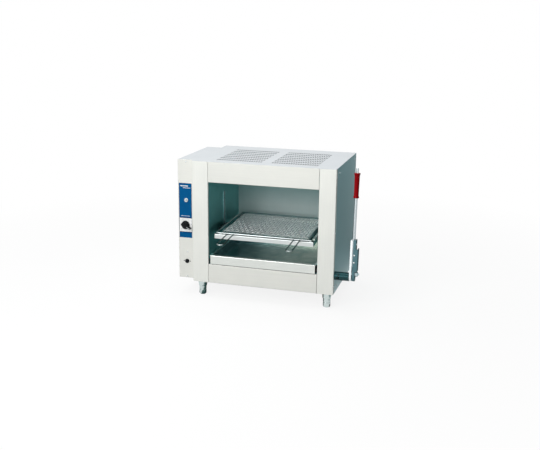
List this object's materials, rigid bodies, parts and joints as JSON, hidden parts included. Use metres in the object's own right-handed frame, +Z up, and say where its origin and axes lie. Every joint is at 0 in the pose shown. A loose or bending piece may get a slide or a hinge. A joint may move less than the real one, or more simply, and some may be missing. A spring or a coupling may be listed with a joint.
{
  "type": "electric fish roaster",
  "caption": "Countertop electric fish roaster: open steel cabinet, heaters under a slotted roof, lift-out net on a carriage raised by a side lever, drip tray and control box.",
  "frame": {"origin": "centre of the bounding box in plan, on the surface that the feet stand on", "axes": "+X to the right along the longest side, from the control box to the lever; +Y to the back; +Z up"},
  "size_m": [0.766, 0.5441, 0.577],
  "materials": {
    "panel_steel": "satin",
    "cavity_steel": "satin",
    "mechanism_steel": "satin",
    "black_steel": "satin",
    "net_chrome": "polished",
    "heater_sheath": "matt oxidised",
    "lever_grip": "smooth",
    "label_blue": "printed",
    "dial_white": "printed",
    "black_plastic": "gloss",
    "lamp_clear": "gloss",
    "bezel_metal": "polished",
    "bush_bronze": "satin",
    "foot_metal": "satin",
    "grey_plastic": "matt"
  },
  "bodies": {
    "cabinet": {"back_panel": "panel_steel", "bearing_stand": "black_steel", "bottom_panel": "panel_steel", "cable_gland": "black_plastic", "cavity_left_wall": "cavity_steel", "cavity_rear_wall": "cavity_steel", "cavity_right_wall": "cavity_steel", "control_front_panel": "panel_steel", "control_label": "label_blue", "control_rear_panel": "panel_steel", "control_wrapper": "panel_steel", "dial_plate": "dial_white", "foot_sleeves": "foot_metal", "guide_brackets": "cavity_steel", "guide_rods": "mechanism_steel", "header_panel": "panel_steel", "heat_reflector": "cavity_steel", "heater_elements": "heater_sheath", "heater_supports": "cavity_steel", "left_post": "panel_steel", "left_side_panel": "panel_steel", "lever_sleeve": "mechanism_steel", "lower_panel": "panel_steel", "panel_screws": "panel_steel", "pilot_lamp_bezel": "bezel_metal", "pilot_lamp_lens": "lamp_clear", "reset_bezel": "black_plastic", "reset_switch": "black_plastic", "right_post": "panel_steel", "right_side_panel": "panel_steel", "rotary_switch": "black_plastic", "shaft_bushes": "bush_bronze", "terminal_block": "grey_plastic", "top_panel": "panel_steel", "tray_runners": "cavity_steel"},
    "lift_lever": {"lift_shaft": "mechanism_steel", "lift_arms": "mechanism_steel", "lever_inner_bar": "mechanism_steel", "lever_outer_bar": "mechanism_steel", "lever_bracket": "mechanism_steel", "lever_rod": "mechanism_steel", "lever_grip": "lever_grip", "lever_fasteners": "mechanism_steel", "lever_nut": "mechanism_steel", "stop_pin": "mechanism_steel"},
    "net_carriage": {"sliders": "mechanism_steel", "slider_bushes": "bush_bronze", "lift_pins": "mechanism_steel", "lift_brackets": "black_steel", "carriage_frame": "cavity_steel"},
    "net": {"net_frame": "net_chrome", "net_wires": "net_chrome", "net_handles": "net_chrome"},
    "tray": {"drip_tray": "panel_steel"},
    "selector_knob": {"knob": "black_plastic"},
    "reset": {"reset_button": "black_plastic"},
    "foot_front_left_body": {"foot_front_left": "foot_metal"},
    "foot_front_right_body": {"foot_front_right": "foot_metal"},
    "foot_rear_left_body": {"foot_rear_left": "foot_metal"},
    "foot_rear_right_body": {"foot_rear_right": "foot_metal"}
  },
  "joints": [
    {"name": "lever_turn", "type": "hinge", "parent": "cabinet", "child": "lift_lever", "pos_m": [-0.015, -0.13192, 0.1405], "axis": [1, 0, 0], "range_deg": [0, 42.77]},
    {"name": "carriage_lift", "type": "slide", "parent": "cabinet", "child": "net_carriage", "axis": [0, 0, 1], "range_m": [0, 0.1402]},
    {"name": "net_slide", "type": "slide", "parent": "net_carriage", "child": "net", "axis": [0, -0.9994, -0.0349], "range_m": [0, 0.3]},
    {"name": "tray_slide", "type": "slide", "parent": "cabinet", "child": "tray", "axis": [0, -1, 0], "range_m": [0, 0.36]},
    {"name": "knob_turn", "type": "hinge", "parent": "cabinet", "child": "selector_knob", "pos_m": [-0.351, -0.13992, 0.301], "axis": [0, 1, 0], "range_deg": [-251, 19]},
    {"name": "reset_press", "type": "slide", "parent": "cabinet", "child": "reset", "axis": [0, 1, 0], "range_m": [0, 0.003], "stiffness_N_per_m": 400},
    {"name": "foot_front_left_height", "type": "slide", "parent": "cabinet", "child": "foot_front_left_body", "axis": [0, 0, -1], "range_m": [0, 0.015]},
    {"name": "foot_front_right_height", "type": "slide", "parent": "cabinet", "child": "foot_front_right_body", "axis": [0, 0, -1], "range_m": [0, 0.015]},
    {"name": "foot_rear_left_height", "type": "slide", "parent": "cabinet", "child": "foot_rear_left_body", "axis": [0, 0, -1], "range_m": [0, 0.015]},
    {"name": "foot_rear_right_height", "type": "slide", "parent": "cabinet", "child": "foot_rear_right_body", "axis": [0, 0, -1], "range_m": [0, 0.015]}
  ],
  "couplings": [
    {"joint": "carriage_lift", "follows": "lever_turn", "m_per_rad": 0.18755}
  ]
}
